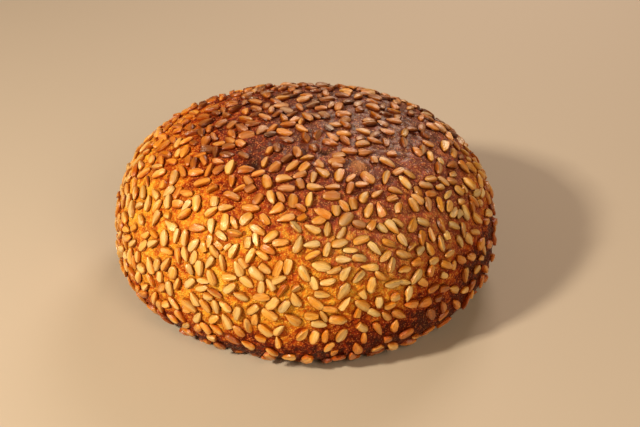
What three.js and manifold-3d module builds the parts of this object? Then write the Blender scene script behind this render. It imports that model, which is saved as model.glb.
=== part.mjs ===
// A round sourdough loaf with sunflower kernels baked into its crust, in millimetres, +Z up.
// The origin is the middle of the flat base, and the side shown in the photograph faces -Y.
import * as THREE from "three";
import { mergeVertices } from "three/addons/utils/BufferGeometryUtils.js";
import Module from "manifold-3d";

const wasm = await Module();
wasm.setup();

// Driving dimensions of the loaf.
const RADIUS = 99; // mean radius at the widest level
const HEIGHT = 94.5; // base to crown
const WIDEST_Z = 20; // height of the widest level
const BASE_RADIUS = 75; // flat base that stood on the oven floor
const DOME_POWER = 2.58; // 2 is an ellipse, and more gives a fuller shoulder
const TUCK_POWER = 1.8; // the same for the side that tucks under to the base
const OVAL = 0.045; // share by which the loaf is wider than deep
const LOBES = 0.015; // share of a slight three-sided unevenness
const LEAN_X = -0.04; // the crown is higher on the left
const LEAN_Y = -0.015; // and a little higher in front
const LUMP = 0.9; // depth of the slow swells in the crust
const LUMP_WAVES = 6;
const LUMP_RATE = 4.2; // swells over the dome, in radians for each unit of direction
const LUMP_FADE = 4; // power by which they die away towards the base

// Driving dimensions of a sunflower kernel, and how the kernels lie.
const KERNEL = { length: 9.0, width: 4.7, thickness: 2.8 };
const KERNEL_COUNT = 278; // the largest kernels, spread over the whole crust
const KERNEL_TAPER = 0.32; // how much slimmer the tip is than the blunt end
const KERNEL_LIFT = 0.3; // middle of a flat kernel above the crust
const LARGEST = 1.16; // size of the first kernels
const SMALLEST = 1.0; // size of the last of these kernels
const SIZE_JITTER = 0.07;
const FLAT_ROLL = 14; // degrees, most kernels
const EDGE_ROLL = 62; // degrees, the few that lie on edge
const EDGE_SHARE = 0.08;
const PITCH = 7; // degrees, tip up or down
const PACK = 1.4; // room kept round a kernel, as a share of its width
const FLOOR_GAP = 0.6; // between the lowest kernels and the level of the base
const SEED = 4211; // start of the random draws

const CRUST_COLOR = 0xb8681f;
const CRUST_ROUGHNESS = 0.6;

// Places where the crust shows more bare: centre in plan, radius, and the share of kernels that stay.
const BARE_PATCHES = [
  { x: -21, y: -30, radius: 13, keep: 0.12 },
  { x: 51, y: -25, radius: 12, keep: 0.3 },
  { x: 44, y: 8, radius: 11, keep: 0.35 },
  { x: 24, y: -40, radius: 8, keep: 0.35 },
  { x: 54, y: -54, radius: 10, keep: 0.35 },
];
const LOW_BAND = { z: 16, keep: 0.55 }; // kernels are fewer where the side tucks under

// Mesh steps of the faceted solids.
const ROUND_STEPS = 36;
const DOME_STEPS = 11;
const TUCK_STEPS = 4;
const KERNEL_SIDES = 4;
const KERNEL_RINGS = 3;

const WIDEST_TURN = Math.PI / 2; // turn runs from 0 at the crown to PI at the edge of the base
const RIM_TURN = Math.PI;
const BASE_TURN = RIM_TURN + 1; // middle of the base
const GOLDEN_ANGLE = Math.PI * (3 - Math.sqrt(5));
const TURN_STEP = 0.002; // for slopes
const FULL_AREA = RADIUS * RADIUS; // area for each unit of turn and angle at which every draw stays
const MERGE_GAP = 1e-3; // points closer than this are one
const DRAW_FACTOR = 48271; // multiplier and modulus of the random draws
const DRAW_MODULUS = 2147483647;

// Random numbers from 0 to 1 that come out alike in any language.
function randomDraws(start) {
  let state = start;
  return () => {
    state = (state * DRAW_FACTOR) % DRAW_MODULUS;
    return state / DRAW_MODULUS;
  };
}

// Radius and height of the loaf's plain profile.
function profile(turn) {
  const sine = Math.abs(Math.sin(turn));
  const cosine = Math.abs(Math.cos(turn));
  if (turn <= WIDEST_TURN) {
    const power = 2 / DOME_POWER;
    return [RADIUS * sine ** power, WIDEST_Z + (HEIGHT - WIDEST_Z) * cosine ** power];
  }
  if (turn <= RIM_TURN) {
    const power = 2 / TUCK_POWER;
    return [BASE_RADIUS + (RADIUS - BASE_RADIUS) * sine ** power, WIDEST_Z * (1 - cosine ** power)];
  }
  return [BASE_RADIUS * Math.max(0, BASE_TURN - turn), 0];
}

// The turn at a share of the way from the crown to the widest level, in steps of even length.
function domeTurn(share) {
  return Math.atan(Math.tan(WIDEST_TURN * share) ** (DOME_POWER / 2));
}

// Slow swells of the crust, as a share of the radius.
function swell(turn, angle) {
  const direction = new THREE.Vector3().setFromSphericalCoords(1, turn, angle);
  let sum = 0;
  for (let wave = 0; wave < LUMP_WAVES; wave++) {
    const heading = wave * GOLDEN_ANGLE;
    const rise = (wave + 0.5) / LUMP_WAVES;
    const flat = Math.sqrt(1 - rise * rise);
    const across = direction.x * Math.cos(heading) + direction.z * Math.sin(heading);
    sum += Math.sin(LUMP_RATE * (across * flat + direction.y * rise) + wave);
  }
  const fade = 1 - Math.min(1, turn / RIM_TURN) ** LUMP_FADE;
  return ((LUMP / RADIUS) * fade * sum) / Math.sqrt(LUMP_WAVES);
}

// A point of the crust: turn down from the crown, angle round it from +X.
function crustPoint(turn, angle) {
  const [radius, height] = profile(turn);
  const wave = swell(turn, Math.PI / 2 - angle);
  const spread = radius * (1 + OVAL * Math.cos(2 * angle) + LOBES * Math.sin(3 * angle) + wave);
  const x = spread * Math.cos(angle);
  const y = spread * Math.sin(angle) + RADIUS * LOBES;
  const lean = 1 + (LEAN_X * x + LEAN_Y * y) / RADIUS;
  return new THREE.Vector3(x, y, height * lean * (1 + wave));
}

// The crust's outward direction times its area for each unit of turn and angle.
function crustArea(turn, angle) {
  const down = crustPoint(turn + TURN_STEP, angle).sub(crustPoint(turn - TURN_STEP, angle));
  const round = crustPoint(turn, angle + TURN_STEP).sub(crustPoint(turn, angle - TURN_STEP));
  return down.cross(round).divideScalar(4 * TURN_STEP * TURN_STEP);
}

// A closed geometry as a manifold solid.
function solidOf(geometry) {
  geometry.deleteAttribute("normal");
  geometry.deleteAttribute("uv");
  const merged = mergeVertices(geometry, MERGE_GAP);
  return new wasm.Manifold(
    new wasm.Mesh({
      numProp: 3,
      vertProperties: merged.attributes.position.array,
      triVerts: new Uint32Array(merged.index.array),
    }),
  );
}

// The loaf without its kernels: a lathe turned from base to crown, moved onto the uneven crust.
function bareLoaf() {
  const turns = [BASE_TURN];
  for (let i = 0; i < TUCK_STEPS; i++) {
    turns.push(RIM_TURN - (RIM_TURN - WIDEST_TURN) * (i / TUCK_STEPS));
  }
  for (let i = 0; i < DOME_STEPS; i++) {
    turns.push(domeTurn(1 - i / DOME_STEPS));
  }
  turns.push(0);
  const geometry = new THREE.LatheGeometry(
    turns.map((turn) => new THREE.Vector2(...profile(turn))),
    ROUND_STEPS,
  );
  const place = geometry.attributes.position;
  for (let i = 0; i < place.count; i++) {
    const angle = (2 * Math.PI * Math.floor(i / turns.length)) / ROUND_STEPS;
    place.setXYZ(i, ...crustPoint(turns[i % turns.length], angle).toArray());
  }
  return solidOf(geometry);
}

// Share of the kernels that stay at a place on the crust.
function coverAt(point) {
  let keep = point.z < LOW_BAND.z ? LOW_BAND.keep : 1;
  for (const patch of BARE_PATCHES) {
    const inside = Math.hypot(point.x - patch.x, point.y - patch.y) < patch.radius;
    keep = inside ? Math.min(keep, patch.keep) : keep;
  }
  return keep;
}

// One kernel's place, lie and size from the next random draws. The count of draws is always the same.
function drawKernel(draw, order) {
  const turn = RIM_TURN * draw();
  const angle = 2 * Math.PI * draw();
  const areaDraw = draw();
  const coverDraw = draw();
  const heading = 2 * Math.PI * draw();
  const size = LARGEST + ((SMALLEST - LARGEST) * order) / KERNEL_COUNT + SIZE_JITTER * (2 * draw() - 1);
  const roll = (draw() < EDGE_SHARE ? EDGE_ROLL : FLAT_ROLL) * (2 * draw() - 1);
  const pitch = PITCH * (2 * draw() - 1);
  const area = crustArea(turn, angle);
  const point = crustPoint(turn, angle);
  const stays = areaDraw * FULL_AREA < area.length() && coverDraw < coverAt(point);
  return { point, out: area.normalize(), heading, size, roll, pitch, stays };
}

// The kernel's frame: columns along its width, its length and its thickness, at its place on the crust.
function kernelFrame(kernel) {
  const side = new THREE.Vector3(0, 0, 1).cross(kernel.out).normalize();
  const along = side.applyAxisAngle(kernel.out, kernel.heading);
  const across = along.clone().cross(kernel.out);
  const middle = kernel.point.clone().addScaledVector(kernel.out, KERNEL_LIFT * kernel.size);
  const lie = new THREE.Matrix4().makeRotationFromEuler(
    new THREE.Euler(THREE.MathUtils.degToRad(kernel.pitch), THREE.MathUtils.degToRad(kernel.roll), 0),
  );
  return new THREE.Matrix4().makeBasis(across, along, kernel.out).multiply(lie).setPosition(middle);
}

// Three points down a kernel's length, which stand for it where kernels are kept apart.
function kernelSpine(kernel, frame) {
  const reach = ((KERNEL.length - KERNEL.width) / 2) * kernel.size;
  return [-reach, 0, reach].map((y) => new THREE.Vector3(0, y, 0).applyMatrix4(frame));
}

// A faceted kernel: a ball with its poles at the tip and the blunt end, pinched to a teardrop and flattened.
function kernelSolid(kernel, frame) {
  const geometry = new THREE.SphereGeometry(1, KERNEL_SIDES, KERNEL_RINGS);
  const place = geometry.attributes.position;
  for (let i = 0; i < place.count; i++) {
    const pinch = 1 - KERNEL_TAPER * place.getY(i);
    place.setX(i, place.getX(i) * pinch);
    place.setZ(i, place.getZ(i) * pinch);
  }
  const half = kernel.size / 2;
  geometry.scale(KERNEL.width * half, KERNEL.length * half, KERNEL.thickness * half);
  geometry.applyMatrix4(frame);
  geometry.computeBoundingBox();
  return geometry.boundingBox.min.z > FLOOR_GAP ? solidOf(geometry) : null;
}

// Kernels drawn one after the other, each kept only where it has room.
function kernelSolids() {
  const draw = randomDraws(SEED);
  const spines = [];
  const solids = [];
  while (solids.length < KERNEL_COUNT) {
    const kernel = drawKernel(draw, solids.length);
    const frame = kernelFrame(kernel);
    const spine = kernelSpine(kernel, frame);
    const room = PACK * KERNEL.width * kernel.size;
    const crowded = spines.some((other) => spine.some((point) => point.distanceTo(other) < room));
    const solid = kernel.stays && !crowded ? kernelSolid(kernel, frame) : null;
    if (solid) {
      spines.push(...spine);
      solids.push(solid);
    }
  }
  return solids;
}

// A manifold solid as a three.js geometry.
function geometryOf(solid) {
  const mesh = solid.getMesh();
  const geometry = new THREE.BufferGeometry();
  geometry.setAttribute("position", new THREE.BufferAttribute(mesh.vertProperties, 3));
  geometry.setIndex(new THREE.BufferAttribute(mesh.triVerts, 1));
  geometry.computeVertexNormals();
  return geometry;
}

const crust = new THREE.MeshStandardMaterial({
  color: CRUST_COLOR,
  roughness: CRUST_ROUGHNESS,
  metalness: 0,
});
const loaf = new THREE.Mesh(geometryOf(wasm.Manifold.union([bareLoaf(), ...kernelSolids()])), crust);
loaf.name = "loaf";

const part = new THREE.Group();
part.add(loaf);

export default part;
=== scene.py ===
"""The looks of a round sourdough loaf: its blistered crust and the sunflower kernels baked into it."""

import json
import logging
import math
from collections.abc import Iterator
from dataclasses import dataclass, field
from enum import Enum

import bmesh
import bpy
import numpy as np
from mathutils import Color, Matrix, Vector, noise
from mathutils.kdtree import KDTree


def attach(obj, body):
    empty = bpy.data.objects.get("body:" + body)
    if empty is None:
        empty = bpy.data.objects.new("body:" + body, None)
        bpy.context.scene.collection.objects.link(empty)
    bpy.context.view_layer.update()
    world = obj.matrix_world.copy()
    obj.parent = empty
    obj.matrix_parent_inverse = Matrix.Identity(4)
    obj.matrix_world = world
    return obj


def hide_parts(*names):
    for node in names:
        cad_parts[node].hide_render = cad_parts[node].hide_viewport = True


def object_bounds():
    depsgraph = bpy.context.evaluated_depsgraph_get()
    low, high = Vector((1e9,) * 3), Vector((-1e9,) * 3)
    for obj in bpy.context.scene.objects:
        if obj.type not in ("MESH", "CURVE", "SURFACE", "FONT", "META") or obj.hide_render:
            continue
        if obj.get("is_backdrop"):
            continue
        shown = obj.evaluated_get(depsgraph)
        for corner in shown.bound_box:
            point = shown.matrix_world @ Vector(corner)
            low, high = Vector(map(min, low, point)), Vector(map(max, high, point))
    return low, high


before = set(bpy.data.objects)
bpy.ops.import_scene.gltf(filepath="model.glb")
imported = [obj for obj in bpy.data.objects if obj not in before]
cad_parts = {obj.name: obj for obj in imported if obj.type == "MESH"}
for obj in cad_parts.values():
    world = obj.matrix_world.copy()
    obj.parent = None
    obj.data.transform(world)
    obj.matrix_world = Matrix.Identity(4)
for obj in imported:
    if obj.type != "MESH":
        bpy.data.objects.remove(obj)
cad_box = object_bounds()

LOG = logging.getLogger("loaf")
MM = 0.001
BODY = "root"
NODE = "loaf"

WIDEST_TURN = math.pi / 2
RIM_TURN = math.pi
BASE_TURN = RIM_TURN + 1
GOLDEN_ANGLE = math.pi * (3 - math.sqrt(5))
TURN_STEP = 0.002
TINY = 1e-9
FULL_BYTE = 255
OCTAVE_FADE = 1.0
OCTAVE_STEP = 2.0

Pair = tuple[float, float]
Stops = tuple[tuple[float, str], ...]
Socket = bpy.types.NodeSocket
Inputs = dict[str | int, object]
MIX_INPUTS = (0, 6, 7)
MIX_RESULT = 2


def linear(code: str) -> tuple[float, float, float, float]:
    """Turns a screen colour of six hexadecimal digits into a shader's linear values, with a full alpha."""
    shares = [part / FULL_BYTE for part in bytes.fromhex(code)]
    return (*Color(shares).from_srgb_to_scene_linear(), 1.0)


def smooth_step(low: float, high: float, value: np.ndarray) -> np.ndarray:
    """Eases from 0 at low to 1 at high, which may be the smaller of the two."""
    share = np.clip((value - low) / (high - low), 0, 1)
    return share * share * (3 - 2 * share)


def noise_at(points: np.ndarray, size: float, octaves: int = 1, offset: float = 0.0) -> np.ndarray:
    """Reads smooth noise, about -1 to 1, at places in rows: swells of a size, with finer ones on them."""
    scaled = points / size + offset
    return np.array([noise.fractal(Vector(p), OCTAVE_FADE, OCTAVE_STEP, octaves) for p in scaled])


def cells_at(points: np.ndarray, size: float) -> np.ndarray:
    """Reads the distance from places in rows to the nearest cell centre, as a share of the cells' size."""
    return np.array([noise.voronoi(Vector(p))[0][0] for p in points / size])


@dataclass(frozen=True)
class Rise:
    """A value that eases in between two places of a measure."""

    start: float
    end: float
    most: float = 1.0

    def share(self, measure: np.ndarray) -> np.ndarray:
        """Gives how much of the value is there, from 0 to 1."""
        return smooth_step(self.start, self.end, measure)

    def at(self, measure: np.ndarray) -> np.ndarray:
        """Gives the value."""
        return self.most * self.share(measure)


@dataclass(frozen=True)
class Spot:
    """A value that fades out round a middle, which two measures place."""

    first: float
    second: float
    reach: float
    most: float

    def at(self, first: np.ndarray, second: np.ndarray) -> np.ndarray:
        """Gives the value at places by their two measures."""
        apart = np.hypot(first - self.first, second - self.second)
        return self.most * smooth_step(self.reach, 0, apart)


@dataclass(frozen=True)
class LoafForm:
    """The crust as a surface over turn, 0 at the crown and pi at the rim of the base, and angle from +X."""

    radius: float = 99 * MM
    height: float = 94.5 * MM
    widest: float = 20 * MM
    base_radius: float = 75 * MM
    dome_power: float = 2.58
    tuck_power: float = 1.8
    oval: float = 0.045
    lobes: float = 0.015
    lean_x: float = -0.04
    lean_y: float = -0.015
    lump: float = 0.9 * MM
    lump_waves: int = 6
    lump_rate: float = 4.2
    lump_fade: int = 4
    length_steps: int = 4000

    def profile(self, turn: np.ndarray) -> tuple[np.ndarray, np.ndarray]:
        """Gives the plain profile's radius and height.

        Args:
            turn: Turns down from the crown.

        Returns:
            Radii and heights.
        """
        sine = np.abs(np.sin(turn))
        cosine = np.abs(np.cos(turn))
        dome = 2 / self.dome_power
        tuck = 2 / self.tuck_power
        stretch = [turn <= WIDEST_TURN, turn <= RIM_TURN]
        side = self.base_radius + (self.radius - self.base_radius) * sine**tuck
        base = self.base_radius * np.maximum(0, BASE_TURN - turn)
        cap = self.widest + (self.height - self.widest) * cosine**dome
        foot = self.widest * (1 - cosine**tuck)
        return (
            np.select(stretch, [self.radius * sine**dome, side], base),
            np.select(stretch, [cap, foot], 0.0),
        )

    def swell(self, turn: np.ndarray, angle: np.ndarray) -> np.ndarray:
        """Gives the slow swells of the crust as a share of the radius.

        Args:
            turn: Turns down from the crown.
            angle: Angles round it from +X.

        Returns:
            One share for each place.
        """
        total = np.zeros_like(turn)
        for wave in range(self.lump_waves):
            rise = (wave + 0.5) / self.lump_waves
            flat = math.sqrt(1 - rise * rise)
            across = np.sin(turn) * np.cos(angle - wave * GOLDEN_ANGLE)
            total += np.sin(self.lump_rate * (across * flat + np.cos(turn) * rise) + wave)
        fade = 1 - np.minimum(1, turn / RIM_TURN) ** self.lump_fade
        return self.lump / self.radius * fade * total / math.sqrt(self.lump_waves)

    def point(self, turn: np.ndarray, angle: np.ndarray) -> np.ndarray:
        """Gives points of the crust, one row each.

        Args:
            turn: Turns down from the crown.
            angle: Angles round it from +X.

        Returns:
            Places in metres.
        """
        radius, height = self.profile(turn)
        wave = self.swell(turn, angle)
        spread = radius * (1 + self.oval * np.cos(2 * angle) + self.lobes * np.sin(3 * angle) + wave)
        x = spread * np.cos(angle)
        y = spread * np.sin(angle) + self.radius * self.lobes
        lean = 1 + (self.lean_x * x + self.lean_y * y) / self.radius
        return np.stack([x, y, height * lean * (1 + wave)], axis=-1)

    def area(self, turn: np.ndarray, angle: np.ndarray) -> np.ndarray:
        """Gives the outward direction times the area for each unit of turn and angle.

        Args:
            turn: Turns down from the crown.
            angle: Angles round it from +X.

        Returns:
            One vector for each place.
        """
        down = self.point(turn + TURN_STEP, angle) - self.point(turn - TURN_STEP, angle)
        sideways = self.point(turn, angle + TURN_STEP) - self.point(turn, angle - TURN_STEP)
        return np.cross(down, sideways) / (4 * TURN_STEP * TURN_STEP)

    def turn_at(self, share: np.ndarray) -> np.ndarray:
        """Gives the turn at shares of the profile's length from the crown to the rim of the base.

        Args:
            share: Shares from 0 to 1.

        Returns:
            Turns.
        """
        turn = np.linspace(0, RIM_TURN, self.length_steps)
        radius, height = self.profile(turn)
        length = np.concatenate([[0], np.cumsum(np.hypot(np.diff(radius), np.diff(height)))])
        return np.interp(share, length / length[-1], turn)


@dataclass
class Kernel:
    """One sunflower kernel: its place, its axes across, along and out of the crust, and its form."""

    middle: np.ndarray
    axes: np.ndarray
    size: float
    breadth: float = 1.0
    depth: float = 1.0
    bend: float = 0.0
    skew: float = 0.0
    dish: float = 0.0
    blunt: float = 0.5
    tip: float = 0.8
    cut: float = 1.0
    tone: float = 0.5
    toast: float = 0.0


@dataclass(frozen=True)
class KernelShape:
    """The outline and the belly of a kernel along its length, from -1 at its blunt end to 1 at its tip."""

    length: float = 9.0 * MM
    width: float = 4.7 * MM
    thickness: float = 2.8 * MM
    taper: float = 0.32
    belly: float = 0.42
    flatness: float = 2.35
    last: float = 0.98
    core: float = 0.001

    def half_width(self, kernel: Kernel, along: np.ndarray) -> np.ndarray:
        """Gives half the width of a kernel.

        Args:
            kernel: The kernel.
            along: Places along its length.

        Returns:
            One half width for each place.
        """
        peak = (kernel.blunt - kernel.tip) / (kernel.blunt + kernel.tip)
        most = (1 + peak) ** kernel.blunt * (1 - peak) ** kernel.tip
        outline = (1 + along) ** kernel.blunt * (1 - along) ** kernel.tip / most
        return self.width / 2 * kernel.size * kernel.breadth * outline

    def half_depth(self, kernel: Kernel, along: np.ndarray) -> np.ndarray:
        """Gives half the thickness of a kernel at places along its length."""
        outline = np.maximum(0, 1 - along**2) ** self.belly * (1 - self.taper / 2 * along)
        return self.thickness / 2 * kernel.size * kernel.depth * outline

    def gap(self, kernel: Kernel, local: np.ndarray) -> np.ndarray:
        """Gives the distance to a kernel's skin, below 0 inside it.

        Args:
            kernel: The kernel.
            local: Places in the kernel's axes, one row each.

        Returns:
            One distance for each place.
        """
        half = self.length * kernel.size / 2
        x, y, z = local.T
        along = y / half
        held = np.clip(along, -self.last, min(self.last, kernel.cut))
        x = x - kernel.bend * half * held**2
        radius = np.maximum(np.hypot(x, z), self.core * MM)
        measure = np.hypot(x / self.half_width(kernel, held), z / self.half_depth(kernel, held))
        sideways = radius * (1 - 1 / np.maximum(measure, self.core))
        beyond = np.abs(along - held) * half
        return np.where(beyond > 0, np.hypot(np.maximum(sideways, 0), beyond), sideways)


@dataclass(frozen=True)
class KernelVariety:
    """How much kernels differ in form and colour."""

    usual: float = 0.94
    unlike: float = 0.55
    rise: Pair = (0.25 * MM, 1.0 * MM)
    breadth: Pair = (0.98, 0.1)
    breadth_range: Pair = (0.78, 1.28)
    depth: Pair = (1.15, 0.14)
    depth_range: Pair = (0.85, 1.35)
    bend: float = 0.06
    skew: float = 0.3
    dish: Pair = (-0.15, 0.55)
    blunt: Pair = (0.28, 0.55)
    tip: Pair = (0.3, 0.9)
    broken_share: float = 0.26
    cut: Pair = (0.1, 0.8)
    toast: float = 0.1
    toast_least: float = 0.03
    toast_rise: float = 1.15
    scorched_share: float = 0.03
    scorched: float = 0.22
    seed: int = 77

    def apply(self, kernels: list[Kernel], baked: np.ndarray, whole: int) -> None:
        """Gives each kernel its own form and colour.

        Args:
            kernels: The placed kernels.
            baked: How dark each of them is, from the oven and partly from painted shade.
            whole: How many of the first stay whole.
        """
        draw = np.random.default_rng(self.seed)
        for order, (kernel, dark) in enumerate(zip(kernels, baked)):
            kernel.size = self.usual + self.unlike * (kernel.size - self.usual)
            out = kernel.axes[:, 2]
            kernel.middle = kernel.middle + out * kernel.size * draw.uniform(*self.rise)
            kernel.breadth = float(np.clip(draw.normal(*self.breadth), *self.breadth_range))
            kernel.depth = float(np.clip(draw.normal(*self.depth), *self.depth_range))
            kernel.bend = float(draw.normal(0.0, self.bend))
            kernel.skew = float(draw.uniform(-self.skew, self.skew))
            kernel.dish = max(0.0, float(draw.uniform(*self.dish)))
            kernel.blunt = float(draw.uniform(*self.blunt))
            kernel.tip = float(draw.uniform(*self.tip))
            cut = float(draw.uniform(*self.cut))
            if draw.random() < self.broken_share and order >= whole:
                kernel.cut = cut
            kernel.tone = float(draw.random())
            scorch = self.scorched if draw.random() < self.scorched_share else 0.0
            toast = self.toast_least + self.toast_rise * dark + draw.normal(0.0, self.toast)
            kernel.toast = float(np.clip(toast + scorch, 0, 1))


@dataclass(frozen=True)
class BarePatch:
    """A place where the crust shows more bare, and the share of kernels that stay there."""

    x: float
    y: float
    radius: float
    keep: float

    def covers(self, points: np.ndarray) -> np.ndarray:
        """Tells which places, one row each, lie in the patch."""
        return np.hypot(points[:, 0] - self.x, points[:, 1] - self.y) < self.radius


class MarkKind(Enum):
    """What a mark of the crust is, by the name of the attribute that holds its mask."""

    BLISTER = "blister"
    HOLLOW = "hollow"


@dataclass(frozen=True)
class CrustMark:
    """A mark of the crust: its middle in plan, its radius, its height, below 0 in a hollow, and heading."""

    kind: MarkKind
    x: float
    y: float
    radius: float
    height: float
    stretch: float = 1.0
    heading: float = 0.0
    halo: float = 1.3

    def apart(self, points: np.ndarray) -> np.ndarray:
        """Gives how far places are from its middle, 1 at its edge.

        Args:
            points: Places, one row each.

        Returns:
            One measure for each place.
        """
        turn = math.radians(self.heading)
        x = points[:, 0] - self.x
        y = points[:, 1] - self.y
        along = (x * math.cos(turn) + y * math.sin(turn)) / self.stretch
        across = y * math.cos(turn) - x * math.sin(turn)
        return np.hypot(along, across) / self.radius


@dataclass
class KernelScatter:
    """The rule by which kernels lie on the crust: first the solid's own, spread evenly, then the rest."""

    form: LoafForm
    shape: KernelShape
    lift: float = 0.3 * MM
    first_count: int = 278
    count: int = 1060
    largest: float = 1.16
    first_smallest: float = 1.0
    smallest: float = 0.74
    jitter: float = 0.07
    flat_roll: float = 14.0
    edge_roll: float = 62.0
    first_edge_share: float = 0.08
    edge_share: float = 0.16
    pitch: float = 7.0
    first_pack: float = 1.4
    pack: float = 0.86
    floor_gap: float = 0.6 * MM
    corner_ring: float = 0.5
    patches: tuple[BarePatch, ...] = (
        BarePatch(-21 * MM, -30 * MM, 13 * MM, 0.12),
        BarePatch(51 * MM, -25 * MM, 12 * MM, 0.3),
        BarePatch(44 * MM, 8 * MM, 11 * MM, 0.35),
        BarePatch(24 * MM, -40 * MM, 8 * MM, 0.35),
        BarePatch(54 * MM, -54 * MM, 10 * MM, 0.35),
    )
    marks: tuple[CrustMark, ...] = (
        CrustMark(MarkKind.BLISTER, 26 * MM, -39.5 * MM, 4.6 * MM, 2.2 * MM),
        CrustMark(MarkKind.HOLLOW, -26.5 * MM, -39.5 * MM, 3.2 * MM, -2.6 * MM, halo=1.9),
        CrustMark(MarkKind.HOLLOW, 8.9 * MM, -31.2 * MM, 2.2 * MM, -1.5 * MM, 1.8, 20.0),
    )
    clear: float = 2.4 * MM
    sparse: BarePatch = BarePatch(48 * MM, -8 * MM, 27 * MM, 0.25)
    low_band: float = 16 * MM
    low_keep: float = 0.55
    crowd_x: float = 5 * MM
    crowd_y: float = -68 * MM
    crowd_reach: float = 45 * MM
    outside_keep: float = 0.45
    thin: Rise = Rise(42 * MM, 20 * MM, 0.85)
    thin_tilt: float = 0.2
    seed: int = 4211
    draw_factor: int = 48271
    draw_modulus: int = 2147483647
    draws_each: int = 9
    draws_of_place: int = 4
    block: int = 2048

    def draws(self) -> Iterator[np.ndarray]:
        """Draws random numbers by the part's own rule.

        Yields:
            Blocks of draws from 0 to 1, a row for each kernel.
        """
        state = self.seed
        while True:
            rows = np.empty((self.block, self.draws_each))
            for index in range(rows.size):
                state = state * self.draw_factor % self.draw_modulus
                rows.flat[index] = state / self.draw_modulus
            yield rows

    def cover(self, points: np.ndarray) -> np.ndarray:
        """Gives the share of kernels that stay at places on the crust.

        Args:
            points: Places, one row each.

        Returns:
            One share for each place.
        """
        keep = np.where(points[:, 2] < self.low_band, self.low_keep, 1.0)
        for patch in self.patches:
            keep = np.where(patch.covers(points), np.minimum(keep, patch.keep), keep)
        return keep

    def crowd(self, points: np.ndarray) -> np.ndarray:
        """Gives the share of the later kernels that stay: all in the crowd in front, few at the foot.

        Args:
            points: Places, one row each.

        Returns:
            One share for each place.
        """
        x, y, z = points.T
        apart = np.hypot(x - self.crowd_x, y - self.crowd_y)
        share = smooth_step(2 * self.crowd_reach, self.crowd_reach, apart)
        keep = self.outside_keep + (1 - self.outside_keep) * share
        keep = keep * (1 - self.thin.at(z - self.thin_tilt * x))
        keep = np.where(self.sparse.covers(points), self.sparse.keep * keep, keep)
        for mark in self.marks:
            covered = mark.apart(points) < 1 + self.clear / mark.radius
            keep = np.where(covered & (z > self.form.widest), 0.0, keep)
        return keep

    def size_of(self, order: int) -> float:
        """Gives the usual size of a kernel by its turn.

        Args:
            order: How many kernels are placed before it.

        Returns:
            The size as a factor.
        """
        if order < self.first_count:
            return self.largest + (self.first_smallest - self.largest) * order / self.first_count
        share = (order - self.first_count) / (self.count - self.first_count)
        return self.first_smallest + (self.smallest - self.first_smallest) * share

    def axes_of(self, out: np.ndarray, heading: float, pitch: float, roll: float) -> np.ndarray:
        """Gives a kernel's axes as columns: across it, along it and through its thickness.

        Args:
            out: The crust's outward direction.
            heading: How far the kernel is turned on the crust, in radians.
            pitch: How far its tip is lifted, in radians.
            roll: How far it is rolled about its length, in radians.

        Returns:
            A matrix of three columns.
        """
        normal = Vector(out)
        along = Vector((0, 0, 1)).cross(normal).normalized()
        along.rotate(Matrix.Rotation(heading, 3, normal))
        across = along.cross(normal)
        basis = Matrix((across, along, normal)).transposed()
        lie = Matrix.Rotation(pitch, 3, "X") @ Matrix.Rotation(roll, 3, "Y")
        return np.array(basis @ lie)

    def laid(self, draw: np.ndarray, point: np.ndarray, out: np.ndarray, order: int) -> Kernel:
        """Lays a kernel on the crust.

        Args:
            draw: Its draws for heading, size, lie, roll and pitch.
            point: Its place on the crust.
            out: The crust's outward direction there.
            order: How many kernels are placed before it.

        Returns:
            The kernel.
        """
        heading, jitter, lie, roll, pitch = draw
        size = self.size_of(order) + self.jitter * (2 * jitter - 1)
        edge_share = self.first_edge_share if order < self.first_count else self.edge_share
        most = self.edge_roll if lie < edge_share else self.flat_roll
        roll = math.radians(most * (2 * roll - 1))
        pitch = math.radians(self.pitch * (2 * pitch - 1))
        axes = self.axes_of(out, 2 * math.pi * heading, pitch, roll)
        return Kernel(point + out * self.lift * size, axes, size)

    def lowest(self, kernel: Kernel) -> float:
        """Gives the height of a kernel's lowest corner, with the few corners that the solid has.

        Args:
            kernel: The kernel.

        Returns:
            The height over the floor.
        """
        side = math.sqrt(1 - self.corner_ring**2)
        corners = [(0.0, 1.0, 0.0), (0.0, -1.0, 0.0)]
        for y in (-self.corner_ring, self.corner_ring):
            reach = side * (1 - self.shape.taper * y)
            corners += [(reach, y, 0.0), (-reach, y, 0.0), (0.0, y, reach), (0.0, y, -reach)]
        half = np.array([self.shape.width, self.shape.length, self.shape.thickness]) * kernel.size / 2
        return float(kernel.middle[2] + np.min((np.array(corners) * half) @ kernel.axes[2]))

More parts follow.
